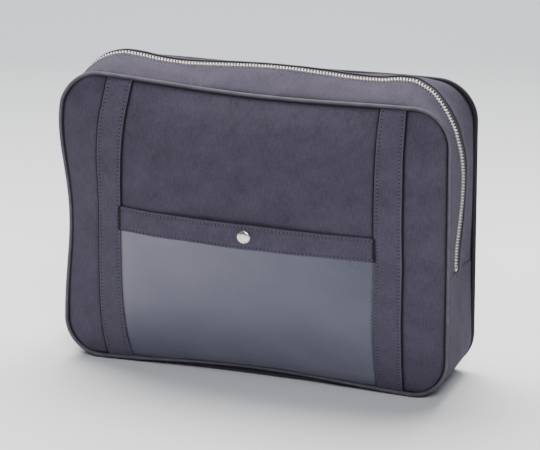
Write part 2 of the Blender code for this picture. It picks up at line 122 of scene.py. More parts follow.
def through(knots, at):
    """A smooth curve through (place, value) pairs."""
    index = next((number for number in range(1, len(knots)) if at <= knots[number][0]), len(knots) - 1)
    (low, first), (high, last) = knots[index - 1], knots[index]
    if first == last:
        return first
    before, after = knots[max(index - 2, 0)], knots[min(index + 1, len(knots) - 1)]
    step = high - low
    part = min(max((at - low) / step, 0), 1)
    leaving = (last - before[1]) / (high - before[0]) * step
    arriving = (after[1] - first) / (after[0] - low) * step
    bend = leaving * part * (1 - part) ** 2 - arriving * part**2 * (1 - part)
    return first + (last - first) * part * part * (3 - 2 * part) + bend


def outline(distance):
    """A point (x, z) of the piping's line and its outward direction, going right and up from the bottom's
    middle."""
    distance %= AROUND
    if distance > AROUND / 2:
        point, out = outline(AROUND - distance)
        return Vector((-point.x, point.y)), Vector((-out.x, out.y))
    if distance < FLAT:
        return Vector((distance, BOTTOM)), Vector((0, -1))
    if distance < FLAT + ARC:
        turn = (distance - FLAT) / CORNER - pi / 2
        out = Vector((cos(turn), sin(turn)))
        return Vector((FLAT, BOTTOM + CORNER)) + CORNER * out, out
    if distance < FLAT + ARC + TALL:
        return Vector((SIDE, BOTTOM + CORNER + distance - FLAT - ARC)), Vector((1, 0))
    if distance < FLAT + 2 * ARC + TALL:
        turn = (distance - FLAT - ARC - TALL) / CORNER
        out = Vector((cos(turn), sin(turn)))
        return Vector((FLAT, TOP - CORNER)) + CORNER * out, out
    return Vector((AROUND / 2 - distance, TOP)), Vector((0, 1))


def up_side(height):
    """The distance round the outline to this height on its right side."""
    return FLAT + ARC + height - BOTTOM - CORNER


def half_width(z, inset=0.0):
    """Half the panel's width at this height, in from the outline by inset."""
    dip = max(BOTTOM + CORNER - z, z - (TOP - CORNER), 0.0)
    return FLAT + sqrt(max((CORNER - inset) ** 2 - dip**2, 0.0))


def up_share(z):
    """How far up the panel this height is, from 0 to 1."""
    return min(max((z - BOTTOM) / (TOP - BOTTOM), 0), 1)


def settle(x, z, back=False):
    """Where filling moves a point (x, z) of the front panel, or of the back one."""
    up = up_share(z)
    middle = cos(pi * x / (2 * SIDE)) ** 2
    side = SIDE_PINCH * sin(pi * up) ** 4 - SHOULDER * sin(pi * up**3) ** 2
    bulge = sin(pi * up ** (SPREAD_LOW if x > 0 else 1))
    spread = SPREAD * x / STRAP_X * bulge * (1 - min(abs(x) / half_width(z), 1) ** 8)
    arch = BOTTOM_ARCH * middle * max(1 - (z - BOTTOM) / SETTLE_REACH, 0) ** 2
    sag = TOP_SAG * middle * max(1 - (TOP - z) / SETTLE_REACH, 0) ** 2
    fall = 0.0
    if back:
        left = (1 - x / SIDE) / 2
        fall = (FALL_LEFT * left**2 + 2 * FALL_MIDDLE * left * (1 - left)) * up**3
    return Vector((x + EVEN + side * max(-x / SIDE, 0) ** 3 + spread, z + arch - sag - fall))


def swell(x, z):
    """The panel's crown at (x, z), as a share of its greatest."""
    across = min(abs(x) / half_width(z), 1)
    up = abs(2 * up_share(z) - 1)
    return (1 - across**CROWN_ACROSS) * (1 - up**CROWN_UP)


def near(distance, reach):
    """1 at no distance, falling to nothing past the reach."""
    return exp(-((distance / reach) ** 2))


def edge_near(x, z, reach):
    """1 at the panel's edge and 0 a few millimetres in."""
    return near(max(min(half_width(z) - abs(x), z - BOTTOM, TOP - z), 0), reach)


def slack(x, z, seed):
    """The soft dents and swells of filled cloth, and the dip where it is sewn into the piping."""
    broad = noise.noise(Vector((x * 15, z * 19, seed)))
    middling = noise.noise(Vector((x * 34, z * 40, seed + 3)))
    fine = noise.noise(Vector((x * 75, z * 66, seed + 5)))
    dents = 0.0019 * broad + 0.0007 * middling + 0.00032 * fine
    return dents * (1 - edge_near(x, z, 0.012)) - 0.0022 * edge_near(x, z, 0.0032)


def beside_straps(x):
    """The front panel dips where the straps' edges are sewn down."""
    return -0.0009 * near(abs(abs(x) - STRAP_X) - STRAP_WIDE / 2, 0.0024)


def on_front(x, z, lift=0.0):
    place = settle(x, z)
    depth = CROWN * swell(x, z) + slack(x, z, 1.0) + lift
    return Vector((place.x, ZIP_Y - HALF_DEPTH - depth, place.y))


def on_back(x, z):
    place = settle(x, z, back=True)
    depth = CROWN * swell(x, z) + slack(x, z, 9.0)
    return Vector((place.x, ZIP_Y + HALF_DEPTH + depth, place.y))


def on_gusset(distance, y, lift=0.0):
    """A point of the gusset, y behind the zip. It bows between the piping lines by way of the zip."""
    distance %= AROUND
    point, out = outline(distance)
    edge = settle(*point, back=y > 0)
    middle = point + out * through(RIDGE, distance) + Vector((EVEN, 0))
    across = abs(y) / HALF_DEPTH
    upright = min(max((point.y - BOTTOM) / CORNER, 0), 1)
    flat_floor = 1 if across < FLOOR_FLAT else (1 - across) / (1 - FLOOR_FLAT)
    bow = (1 - across**2) * upright + flat_floor * (1 - upright)
    tuck = 0.0020 * near(HALF_DEPTH - abs(y), 0.0032)
    loose = upright * (1 - across**4) * (1 - near(y, 0.012))
    dent = loose * 0.0020 * noise.noise(Vector((distance * 22, y * 30, 3.0)))
    dent += loose * 0.0006 * noise.noise(Vector((distance * 55, y * 60, 7.0)))
    place = edge + (middle - edge) * bow + out * (lift + dent - tuck)
    return Vector((place.x, ZIP_Y + y, place.y))


# Shading


class Socket:
    """A shader socket that Python's arithmetic adds Math nodes to."""

    def __init__(self, finish, socket):
        self.finish, self.socket = finish, socket

    def math(self, operation, *others):
        return self.finish.node("ShaderNodeMath", {"operation": operation}, dict(enumerate((self, *others))))

    def __add__(self, other):
        return self.math("ADD", other)

    def __mul__(self, other):
        return self.math("MULTIPLY", other)

    def __sub__(self, other):
        return self.math("SUBTRACT", other)

    def __rsub__(self, other):
        return self.finish.node("ShaderNodeMath", {"operation": "SUBTRACT"}, {0: other, 1: self})

    def __truediv__(self, other):
        return self.math("DIVIDE", other)

    def __mod__(self, other):
        return self.math("FLOORED_MODULO", other)

    __radd__, __rmul__ = __add__, __mul__


class Finish:
    """A material built from nodes."""

    def __init__(self, name):
        self.material = bpy.data.materials.new(name)
        self.material.use_nodes = True
        self.tree = self.material.node_tree
        self.shader = self.tree.nodes["Principled BSDF"]

    def node(self, kind, settings=None, sockets=None, out=0):
        """A node: its settings are set first, then its sockets' values or links."""
        made = self.tree.nodes.new(kind)
        for key, value in (settings or {}).items():
            setattr(made, key, value)
        self.fill(made, sockets or {})
        return Socket(self, made.outputs[out])

    def fill(self, made, sockets):
        for key, value in sockets.items():
            if isinstance(value, Socket):
                self.tree.links.new(value.socket, made.inputs[key])
            else:
                made.inputs[key].default_value = value

    def mix(self, low, high, factor):
        """A colour between two, by a factor."""
        return self.node("ShaderNodeMix", {"data_type": "RGBA"}, {0: factor, 6: low, 7: high}, out=2)

    def grain(self, where, scale, detail=2.0, rough=0.5):
        sockets = {"Vector": where, "Scale": scale, "Detail": detail, "Roughness": rough}
        return self.node("ShaderNodeTexNoise", {}, sockets)

    def stretched(self, where, factors):
        return self.node("ShaderNodeMapping", {"vector_type": "POINT"}, {"Vector": where, "Scale": factors})

    def cloth(self):
        """Metres across and along the cloth, from the piece's own map."""
        return self.node("ShaderNodeUVMap", {"uv_map": "cloth"})

    def edges(self):
        """Metres in from the nearest seam, and metres in from the nearest folded edge."""
        return self.parts(self.node("ShaderNodeUVMap", {"uv_map": "edges"}))[:2]

    def parts(self, where):
        """The X, Y and Z of a vector."""
        split = self.node("ShaderNodeSeparateXYZ", {}, {0: where})
        return [Socket(self, out) for out in split.socket.node.outputs]

    def within(self, distance, reach):
        """1 at no distance, falling to 0 at the reach."""
        return (1 - distance / reach).math("MAXIMUM", 0.0)

    def bump(self, height, distance, strength=1.0):
        return self.node("ShaderNodeBump", {}, {"Height": height, "Distance": distance, "Strength": strength})

    def set(self, **sockets):
        names = {key.replace("_", " "): value for key, value in sockets.items()}
        self.fill(self.shader, names)
        return self.material


def plain_weave(finish, where, pitch):
    """The height of a plain weave from 0 to 1: warp and weft threads that pass over each other by turns."""
    across, along, _ = (part / pitch for part in finish.parts(where))
    step_a, step_b = across % 1.0, along % 1.0
    over = ((across - step_a) + (along - step_b)) % 2.0
    warp = (step_a * pi).math("SINE")
    weft = (step_b * pi).math("SINE")
    warp_up = warp * (weft * 0.4 + 0.6)
    weft_up = weft * (warp * 0.4 + 0.6)
    return over * warp_up + (1 - over) * weft_up


def canvas(name, dark, light, pitch=WEAVE, depth=0.00022, sheen=0.04, rough=0.86):
    """Dyed canvas: a plain weave, threads uneven both ways, blotches, folded edges worn paler with a painted
    highlight, and painted shade in the creases at seams.
    """
    finish = Finish(name)
    where = finish.cloth()
    weave = plain_weave(finish, where, pitch)
    slubs = finish.grain(finish.stretched(where, (1.0, 0.09, 1.0)), 1300, 3.0)
    slubs_across = finish.grain(finish.stretched(where, (0.14, 1.0, 1.0)), 1300, 3.0)
    blotch = finish.grain(where, 42, 4.0, 0.62)
    speck = finish.grain(where, 760, 2.0, 0.75)
    seam, fold = finish.edges()
    # Folded edges go paler: partly worn, partly a painted highlight where the light catches them
    wear_and_highlight = finish.within(fold, 0.0013)
    uneven = slubs * 0.62 + slubs_across * 0.40 + blotch * 0.55
    tone = uneven + speck * 0.62 + weave * 0.22 - 0.80 + wear_and_highlight * 0.45
    colour = finish.mix((*dark, 1), (*light, 1), tone * 1.35)
    # Painted shade at seams: a soft shadow and a near-black line in the crease
    shadow = finish.within(seam, 0.0050)
    crease_shade_line = (finish.within(seam, 0.0018) * 1.6).math("MINIMUM", 1.0)
    shaded = finish.mix(colour, CREASE_SHADE, shadow * shadow * 0.35 + crease_shade_line * 0.55)
    height = weave * 0.8 + (slubs + slubs_across) * 0.35
    return finish.set(
        Base_Color=shaded,
        Roughness=rough + speck * 0.08,
        Normal=finish.bump(height, depth, 0.85),
        Sheen_Weight=sheen,
        Sheen_Roughness=0.55,
        Sheen_Tint=(0.75, 0.76, 0.9, 1.0),
        Specular_IOR_Level=0.25,
    )


def piping_canvas():
    """The canvas that covers the cord: worn paler on its crown with a painted highlight, and painted shade
    where it is tucked into the seam.
    """
    finish = Finish("piping canvas")
    where = finish.cloth()
    # The crown peaks where the painted highlight falls; the edges map's first value turns it to the upper front
    crown = (finish.parts(where)[1] / PIPE - finish.edges()[0]).math("COSINE") * 0.5 + 0.5
    # Painted shade on the cord's sides, where it meets the seam
    tucked = ((0.90 - crown) * 6.5).math("MAXIMUM", 0.0).math("MINIMUM", 1.0)
    wear_and_highlight = crown * crown * (finish.grain(where, 90, 3.0) * 1.2 + 0.05)
    weave = plain_weave(finish, where, WEAVE)
    speck = finish.grain(where, 900, 2.0, 0.7)
    tone = wear_and_highlight * 0.75 + speck * 0.3 - 0.1
    colour = finish.mix((0.040, 0.036, 0.055, 1), (0.150, 0.140, 0.190, 1), tone)
    shaded = finish.mix(colour, CREASE_SHADE, tucked * 0.85)
    return finish.set(
        Base_Color=shaded,
        Roughness=0.72 + speck * 0.1,
        Normal=finish.bump(weave + speck * 0.4, 0.00018, 0.8),
        Sheen_Weight=0.06,
        Sheen_Roughness=0.5,
    )


def zip_tape_cloth():
    """Black herringbone tape."""
    finish = Finish("zip tape")
    where = finish.cloth()
    along, across, _ = finish.parts(where)
    zigzag = ((across / 0.0016) % 1.0 - 0.5).math("ABSOLUTE") * 0.0016
    rib = (((along + zigzag) / 0.0005) * pi).math("SINE") * 0.5 + 0.5
    speck = finish.grain(where, 1200, 2.0)
    colour = finish.mix((0.010, 0.009, 0.012, 1), (0.034, 0.031, 0.040, 1), rib * 0.6 + speck * 0.5 - 0.1)
    return finish.set(
        Base_Color=colour, Roughness=0.8 + speck * 0.1, Normal=finish.bump(rib, 0.00014, 0.7), Sheen_Weight=0.15
    )


def thread():
    """Twisted polyester thread, a little shinier than the canvas."""
    finish = Finish("thread")
    where = finish.node("ShaderNodeTexCoord", {}, out=3)
    ply = finish.grain(where, 2600, 1.0)
    colour = finish.mix((0.044, 0.040, 0.060, 1), (0.125, 0.118, 0.165, 1), ply)
    return finish.set(
        Base_Color=colour, Roughness=0.55 + ply * 0.1, Normal=finish.bump(ply, 0.0001, 0.5), Sheen_Weight=0.2
    )


def needle_hole():
    """The shadowed cloth down in the holes of a row of stitches."""
    finish = Finish("needle hole")
    where = finish.node("ShaderNodeTexCoord", {}, out=3)
    fuzz = finish.grain(where, 3000, 1.0)
    colour = finish.mix((0.004, 0.004, 0.006, 1), (0.016, 0.015, 0.021, 1), fuzz)
    return finish.set(Base_Color=colour, Roughness=0.95 + fuzz * 0.04, Specular_IOR_Level=0.1)


def vinyl():
    """Clear soft film whose haze, partly a painted reflection, thickens upwards on the left and thins upwards
    on the right.
    """
    finish = Finish("vinyl")
    where = finish.cloth()
    across, along, _ = finish.parts(where)
    right = across / (2 * POCKET_REACH) + 0.5
    up = along / BAND_LOW
    cloud = finish.grain(where, 22, 3.0, 0.5)
    grit = finish.grain(where, 1400, 2.0, 0.6)
    ripple = finish.grain(finish.stretched(where, (1.0, 0.35, 1.0)), 50, 2.0)
    # The haze is partly the film's own and partly a painted reflection of the studio's light
    left_haze_and_reflection = (up - 0.06).math("MAXIMUM", 0.0) * 0.68 + 0.10
    right_haze_and_reflection = ((up - 0.02) * 9).math("MAXIMUM", 0.0).math("MINIMUM", 1.0) * (0.47 - up * 0.36)
    haze_and_reflection = left_haze_and_reflection * (1 - right) + right_haze_and_reflection * right + cloud * 0.14 - 0.07
    clear = finish.mix((0.050, 0.058, 0.098, 1), (0.315, 0.300, 0.405, 1), haze_and_reflection)
    # Painted shadow: the film goes near black within 3 mm of the straps' edges and of its foot
    seam = finish.within(finish.edges()[0], 0.0030)
    colour = finish.mix(clear, (0.008, 0.008, 0.012, 1), seam * 0.75)
    return finish.set(
        Base_Color=colour,
        Roughness=0.26 + cloud * 0.12,
        Alpha=0.66 + cloud * 0.10,
        Normal=finish.bump(ripple * 0.8 + grit * 0.05, 0.0006, 0.3),
        Coat_Weight=0.3,
        Coat_Roughness=0.14,
        Specular_IOR_Level=0.5,
    )


def nickel(name, base, rough, scratch=0.5, metallic=1.0):
    """Bright nickel plate with fine handling scratches and a dull bloom."""
    finish = Finish(name)
    where = finish.node("ShaderNodeTexCoord", {}, out=3)
    bloom = finish.grain(where, 220, 3.0)
    lines = finish.grain(finish.stretched(where, (1.0, 1.0, 0.08)), 5200, 1.0)
    colour = finish.mix(tuple(0.72 * part for part in base) + (1,), (*base, 1), bloom * 1.4 - 0.2)
    return finish.set(
        Base_Color=colour,
        Metallic=metallic,
        Roughness=rough + bloom * 0.12,
        Normal=finish.bump(lines * scratch, 0.00005, 0.4),
    )


def studio_floor():
    """Pale paper, with painted shade that darkens it towards the back left."""
    finish = Finish("studio paper")
    where = finish.node("ShaderNodeTexCoord", {}, out=3)
    mottle = finish.grain(where, 9, 3.0)
    across, along, _ = finish.parts(where)
    # Painted shade: the fall of light towards the back left
    away = ((along * 0.95 - across * 0.31 - 0.30) * 1.7).math("MAXIMUM", 0.0).math("MINIMUM", 1.0)
    near_side = finish.mix((0.84, 0.865, 0.89, 1), (0.88, 0.905, 0.93, 1), mottle)
    colour = finish.mix(near_side, (0.40, 0.43, 0.46, 1), away)
    return finish.set(Base_Color=colour, Roughness=0.9 + mottle * 0.05)


# Makers


def finished(name, shape, finish, body, node_names):
    """An object from a bmesh, with its finish, its body and the frame's nodes that it stands for."""
    mesh = bpy.data.meshes.new(name)
    shape.to_mesh(mesh)
    shape.free()
    for one in finish if isinstance(finish, tuple) else (finish,):
        mesh.materials.append(one)
    mesh.shade_smooth()
    mesh.set_sharp_from_angle(angle=radians(42))
    piece = bpy.data.objects.new(name, mesh)
    bpy.context.scene.collection.objects.link(piece)
    if node_names:
        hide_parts(*node_names)
    if callable(body):
        body(piece)
    else:
        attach(piece, body)
    return piece


def over_fold(piece):
    """For a piece of the back, whose cloth runs from the bag into the flap above the zip's ends: bakes its
    placement into its mesh, without bending it.
    """
    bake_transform(piece)


def with_band():
    """For a half of the band, whose end at the strap stays and whose end at the snap moves: bakes its placement
    into its mesh, without making it follow the snap.
    """

    def bend(piece):
        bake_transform(piece)

    return bend


def with_window():
    """For a half of the window, whose top goes with the band while its foot and its edge at the strap stay:
    bakes its placement into its mesh, without making it follow the band.
    """

    def bend(piece):
        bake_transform(piece)

    return bend


def grid_shape(place, columns, rows, merge=False):
    """A grid laid on place(u, v), which gives a point, its metres across and along the cloth, and how far it is
    in from a seam and from a folded edge if it is near one."""
    shape = bmesh.new()
    bmesh.ops.create_grid(shape, x_segments=columns, y_segments=rows, size=0.5)
    threads, edges = (shape.loops.layers.uv.new(name) for name in ("cloth", "edges"))
    found = {}
    for vert in shape.verts:
        vert.co, *found[vert] = place(vert.co.x + 0.5, vert.co.y + 0.5)
    for face in shape.faces:
        for loop in face.loops:
            loop[threads].uv = found[loop.vert][0]
            loop[edges].uv = found[loop.vert][1] if len(found[loop.vert]) > 1 else (1, 1)
    if merge:
        bmesh.ops.remove_doubles(shape, verts=shape.verts, dist=1e-6)
    return shape


def cloth(name, place, columns, rows, finish, body, nodes, thickness, flat):
    """A sewn cloth piece with a wall. flat, the size that it is cut to, is not used."""
    piece = finished(name, grid_shape(place, columns, rows), finish, body, nodes)
    wall = piece.modifiers.new("Wall", "SOLIDIFY")
    wall.thickness, wall.offset, wall.use_even_offset = thickness, -1, True
    return piece


def stitch_mesh():
    """One stitch along X, sunk at its ends, and the dimple that the needle leaves after it, coloured near black
    as painted shade.
    """
    shape = bmesh.new()
    bmesh.ops.create_cone(
        shape, cap_ends=True, segments=6, radius1=THREAD, radius2=THREAD, depth=STITCH,
        matrix=Matrix.Rotation(pi / 2, 4, "Y"),
    )
    long_edges = [edge for edge in shape.edges if abs(edge.verts[0].co.x - edge.verts[1].co.x) > THREAD]
    bmesh.ops.subdivide_edges(shape, edges=long_edges, cuts=2)
    for vert in shape.verts:
        vert.co.z -= THREAD * (0.1 + 1.6 * (abs(vert.co.x) / (STITCH / 2)) ** 3)
    dimple = bmesh.ops.create_uvsphere(shape, u_segments=8, v_segments=4, radius=DIMPLE)["verts"]
    bmesh.ops.scale(shape, vec=(1, 1, 0.45), verts=dimple)
    bmesh.ops.translate(shape, vec=(STITCH_STEP / 2, 0, -0.0001), verts=dimple)
    for vert in dimple:
        for face in vert.link_faces:
            face.material_index = 1
    mesh = bpy.data.meshes.new("stitch")
    shape.to_mesh(mesh)
    shape.free()
    return mesh


def rows_of_stitches(name, routes, body):
    """Stitches along each route: route(part) gives a point, and out_of(point) the way out of the cloth."""
    template = stitch_mesh()
    shape = bmesh.new()
    for route, out_of in routes:
        for here, along in steps_along(route, STITCH_STEP):
            copy = template.copy()
            copy.transform(turned_frame(here, along, out_of(here)))
            shape.from_mesh(copy)
            bpy.data.meshes.remove(copy)
    bpy.data.meshes.remove(template)
    return finished(name, shape, (FINISH["thread"], FINISH["hole"]), body, ())


def steps_along(route, step, offset=0.5):
    """Points and directions a step apart along route(0 to 1)."""
    parts, look = 400, 0.0012
    samples = [route(part / parts) for part in range(parts + 1)]
    run = [0.0]
    for here, after in zip(samples, samples[1:]):
        run.append(run[-1] + (after - here).length)
    count = int(run[-1] / step)
    wanted = [(number + offset) * run[-1] / count for number in range(count)]
    found = []
    for part in np.interp(wanted, run, np.linspace(0, 1, parts + 1)):
        before, after = route(max(part - look, 0)), route(min(part + look, 1))
        found.append((route(part), (after - before).normalized()))
    return found


def turned_frame(here, along, out):
    """A matrix that puts X along, Z out and the origin here."""
    side = out.cross(along).normalized()
    up = along.cross(side).normalized()
    return Matrix.Translation(here) @ Matrix((along, side, up)).transposed().to_4x4()


def outward(point):
    """Roughly outwards from the bag's middle, for what lies on the gusset."""
    flat = Vector((point.x, 0, point.z - (TOP + BOTTOM) / 2))
    corner = Vector((max(abs(flat.x) - FLAT, 0) * (1 if flat.x > 0 else -1), 0, 0))
    tall = (TOP - BOTTOM) / 2 - CORNER
    corner.z = max(abs(flat.z) - tall, 0) * (1 if flat.z > 0 else -1)
    return corner.normalized()


def forwards(_):
    return Vector((0, -1, 0))


def turned(name, profile, centre, finish, body, nodes, steps=48):
    """A solid turned about the line through centre along -Y. profile is (radius, rise) pairs."""
    shape = bmesh.new()
    corners = [shape.verts.new((radius, -rise, 0)) for radius, rise in profile]
    edges = [shape.edges.new(pair) for pair in zip(corners, corners[1:])]
    if profile[0][0] > 0:
        edges.append(shape.edges.new((corners[-1], corners[0])))
    bmesh.ops.spin(
        shape, geom=corners + edges, cent=(0, 0, 0), axis=(0, 1, 0), angle=2 * pi, steps=steps, use_merge=True
    )
    bmesh.ops.remove_doubles(shape, verts=shape.verts, dist=1e-6)
    bmesh.ops.recalc_face_normals(shape, faces=shape.faces)
    bmesh.ops.translate(shape, vec=centre, verts=shape.verts)
    return finished(name, shape, finish, body, nodes)


def rounded(profile, radius=0.00025, steps=3):
    """The profile with its corners cut by small arcs."""
    points = [Vector(corner) for corner in profile]
    out = [points[0]]
    for before, corner, after in zip(points, points[1:], points[2:]):
        back, onward = before - corner, after - corner
        reach = min(radius, back.length * 0.45, onward.length * 0.45)
        start, end = corner + back.normalized() * reach, corner + onward.normalized() * reach
        for step in range(steps + 1):
            part = step / steps
            out.append(start.lerp(corner, part).lerp(corner.lerp(end, part), part))
    return [tuple(point) for point in out + [points[-1]]]


# The bag


def panel(name, surface, mirrored, body, nodes):
    """A panel of canvas. Its rows crowd towards the rounded corners, and its edge is tucked into the piping."""
    # seam and beside feed the canvas's painted shade: dark lines at the piping and beside each strap's edge
    shaded_in, beside_in = 0.0018, 0.0006   # where the dark creases start: at the piping, and beside a strap
    middle, half = (BOTTOM + TOP) / 2, (TOP - BOTTOM) / 2 - TUCKED

    def place(u, v):
        z = middle - half * cos(pi * v)
        x = half_width(z, TUCKED) * (2 * u - 1)
        seam = min(half_width(z, TUCKED) - abs(x), z - BOTTOM, TOP - z) - shaded_in
        if mirrored:
            return surface(-x, z), (-x, z), (seam, 1)
        beside = abs(abs(abs(x) - STRAP_X) - STRAP_WIDE / 2) - beside_in
        return surface(x, z), (x, z), (min(seam, beside), 1)

    size = (2 * SIDE, TOP - BOTTOM)
    return cloth(name, place, 190, 140, FINISH["canvas"], body, nodes, CLOTH, size)


def piping(name, side, body, nodes):
    """The cord in its canvas sleeve, all round a panel."""

    def place(u, v):
        distance = AROUND * (u % 1)
        point, out = outline(distance)
        edge = settle(*point, back=side > 0)
        turn = 2 * pi * (v % 1)
        thick = PIPE * (1 + 0.05 * noise.noise(Vector((distance * 160, 0, side))))
        reach = edge + out * thick * cos(turn)
        point = Vector((reach.x, ZIP_Y + side * (HALF_DEPTH + thick * sin(turn)), reach.y))
        # The edges map's first value turns the piping's painted highlight towards the upper front
        return point, (AROUND * u, 2 * pi * PIPE * v), (0.84 + 0.5 * (1 - out.y), 1)

    shape = grid_shape(place, 420, 14, merge=True)
    bmesh.ops.recalc_face_normals(shape, faces=shape.faces)
    return finished(name, shape, FINISH["piping"], body, nodes)


def crease(distance, y):
    """How far out of the painted shade in the piping's crease the gusset is. The shade is narrower along the
    top.
    """
    point, _ = outline(distance)
    return HALF_DEPTH - abs(y) - (CREASE_TOP if abs(point.x) < FLAT and point.y > CORNER else CREASE_SIDE)


def strip_profile(side, y):
    """The gusset's folded edge stands up beside the chain, most at the back. Its stitches pull it down."""
    reach = abs(y) - STRIP_EDGE[side]
    pulled = 0.0005 * near(reach - SEAM_IN, 0.0008)
    rolled = 0.0006 * near(reach, 0.0007)
    return STRIP_RISE[side] * near(reach, STRIP_SLOPE) - pulled - rolled


def gusset_strip(name, side, body, nodes):
    """Half of the zip gusset, from the piping to its folded edge beside the chain."""
    start = up_side(ZIP_END - 0.006)
    inner, outer = STRIP_EDGE[side], HALF_DEPTH - GUSSET_IN

    def place(u, v):
        reach = inner + (outer - inner) * ((1 - v) if side > 0 else v) ** 1.6
        distance = start + (AROUND - 2 * start) * u
        under = near(distance - start, 0.006) + near(AROUND - start - distance, 0.006)
        y = side * reach
        lift = strip_profile(side, y) - CLOTH * under
        # The edges map feeds painted shade at the piping and a painted highlight on the folded edge
        return on_gusset(distance, y, lift), (distance, y), (crease(distance, y), reach - inner)

    size = (AROUND - 2 * start, outer - inner)
    return cloth(name, place, 330, 18, FINISH["canvas"], body, nodes, CLOTH, size)


def bottom_gusset():
    """The strip under the bag and up both sides, lapped over the ends of the zip gusset."""
    reach = up_side(ZIP_END)
    far = HALF_DEPTH - GUSSET_IN

    def place(u, v):
        y = far * (1 - 2 * v)
        distance = (2 * u - 1) * reach
        into = reach - abs(distance)
        lapped = 0.0007 * near(into, 0.004)
        pulled = 0.0005 * near(into - SEAM_IN, 0.0009)
        rolled = 0.0005 * near(into, 0.0008)
        # The edges map feeds painted shade at the piping and a painted highlight on the lapped edge
        return on_gusset(distance, y, lapped - pulled - rolled), (distance, y), (crease(distance, y), into)

    size, nodes = (2 * reach, 2 * far), ("bottom_gusset",)
    return cloth("bottom_gusset_cloth", place, 300, 44, FINISH["canvas"], "root", nodes, CLOTH, size)


def binding(name, side, body, nodes):
    """The tape round the seam inside the bag, standing in from the corner at 45 degrees."""
    first, last = 0.0031, 0.0103

    def place(u, v):
        reach = first + (last - first) * (v if side < 0 else 1 - v)
        distance = AROUND * (0.001 + 0.998 * u)
        point, out = outline(distance)
        inner = settle(*point, back=side > 0) - out * reach
        return Vector((inner.x, ZIP_Y + side * (HALF_DEPTH - reach), inner.y)), (distance, reach)

    size = (AROUND, (last - first) * sqrt(2))
    return cloth(name, place, 240, 3, FINISH["lining"], body, nodes, BINDING, size)


# The zip


def sunk(distance):
    """How far the chain sinks between the strips where the filling swells up at the left shoulder."""
    rise, fall = (min(max((distance - low) / run, 0), 1) for low, run in (SINK_FROM, SINK_TO))
    return SINK * (rise - fall)


def zip_tape(name, side, body, nodes):
    start = up_side(ZIP_END - 0.008)
    inner, outer = 0.0006, 0.0160

    def place(u, v):
        reach = inner + (outer - inner) * ((1 - v) if side > 0 else v)
        distance = start + (AROUND - 2 * start) * u
        under = min(max(reach - TOOTH_REACH, 0) / (STRIP_EDGE[side] - TOOTH_REACH), 1)
        lift = strip_profile(side, side * reach) * under - 0.0004 - 0.0013 * under**4
        return on_gusset(distance, side * reach, lift - sunk(distance)), (distance, reach)

    size = (AROUND - 2 * start, outer - inner)
    return cloth(name, place, 330, 16, FINISH["tape"], body, nodes, TAPE, size)


def tooth_mesh(side):
    """One tooth: two legs clamped on the tape's edge behind a narrower head."""
    shape = bmesh.new()
    bmesh.ops.create_cube(shape, size=1)
    bmesh.ops.scale(shape, vec=(TOOTH_WIDE, TOOTH_REACH + TOOTH_HEAD, TOOTH_TALL), verts=shape.verts)
    bmesh.ops.translate(shape, vec=(0, side * (TOOTH_REACH - TOOTH_HEAD) / 2, 0.0002), verts=shape.verts)
    for vert in shape.verts:
        if side * vert.co.y < 0:
            vert.co.x *= 0.62
            vert.co.z = vert.co.z * 0.55 - 0.0003
    bmesh.ops.bevel(
        shape, geom=shape.edges[:], affect="EDGES", offset=TOOTH_BEVEL, segments=1, profile=0.5, material=-1
    )
    mesh = bpy.data.meshes.new("tooth")
    shape.to_mesh(mesh)
    shape.free()
    return mesh


def zip_teeth(name, side, body, nodes):
    """One side's row of teeth. The two rows stand half a step apart, so that they mesh."""
    template = tooth_mesh(side)
    low = up_side(ZIP_END + 0.0035)
    shape = bmesh.new()
    offset = 0.25 if side > 0 else 0.75

    def route(part):
        distance = low + (AROUND - 2 * low) * part
        return on_gusset(distance, 0, 0.0003 - sunk(distance))

    for here, along in steps_along(route, TOOTH_STEP, offset):
        copy = template.copy()
        copy.transform(turned_frame(here, along, outward(here)))
        shape.from_mesh(copy)
        bpy.data.meshes.remove(copy)
    bpy.data.meshes.remove(template)
    return finished(name, shape, FINISH["teeth"], body, nodes)


# The front


def strap_lift(across, wide):
    """The strap's face: rounded at its folded edges and pressed in along its two rows of stitches."""
    edge = wide / 2 - abs(across)
    return WEB - 0.0009 * near(edge, 0.0007) - 0.0006 * near(edge - SEAM_IN, 0.0008)


def strap(name, x, node):
    low, high = BOTTOM + 0.0012, TOP - 0.0012

    def place(u, v):
        across = STRAP_WIDE * (u - 0.5)
        z = low + (high - low) * v
        fold = STRAP_WIDE / 2 - abs(across)
        # The fold distance feeds a painted highlight on the strap's folded edges, which are also worn paler
        return on_front(x + across, z, 0.0005 + strap_lift(across, STRAP_WIDE)), (across, z), (1, fold)

    return cloth(
        name, place, 30, 170, FINISH["webbing"], "root", (node,), WEB, (STRAP_WIDE, high - low)
    )


def strap_stitches(name, x):
    low, high = BOTTOM + 0.004, TOP - 0.004
    inner = STRAP_WIDE / 2 - SEAM_IN
    routes = [
        (lambda part, at=x + side * inner: on_front(at, low + (high - low) * part, WEB + 0.00025), forwards)
        for side in (-1, 1)
    ]
    return rows_of_stitches(name, routes, "root")


def band_droop(x):
    return BAND_DROOP * max(x / POCKET_REACH, 0) ** 2


def band_lift(x):
    """How far the back of the band stands off the panel: the snap holds its middle away."""
    return 0.0004 + VINYL + SNAP_LIFT * cos(pi * min(abs(x) / POCKET_REACH, 1) / 2) ** 2


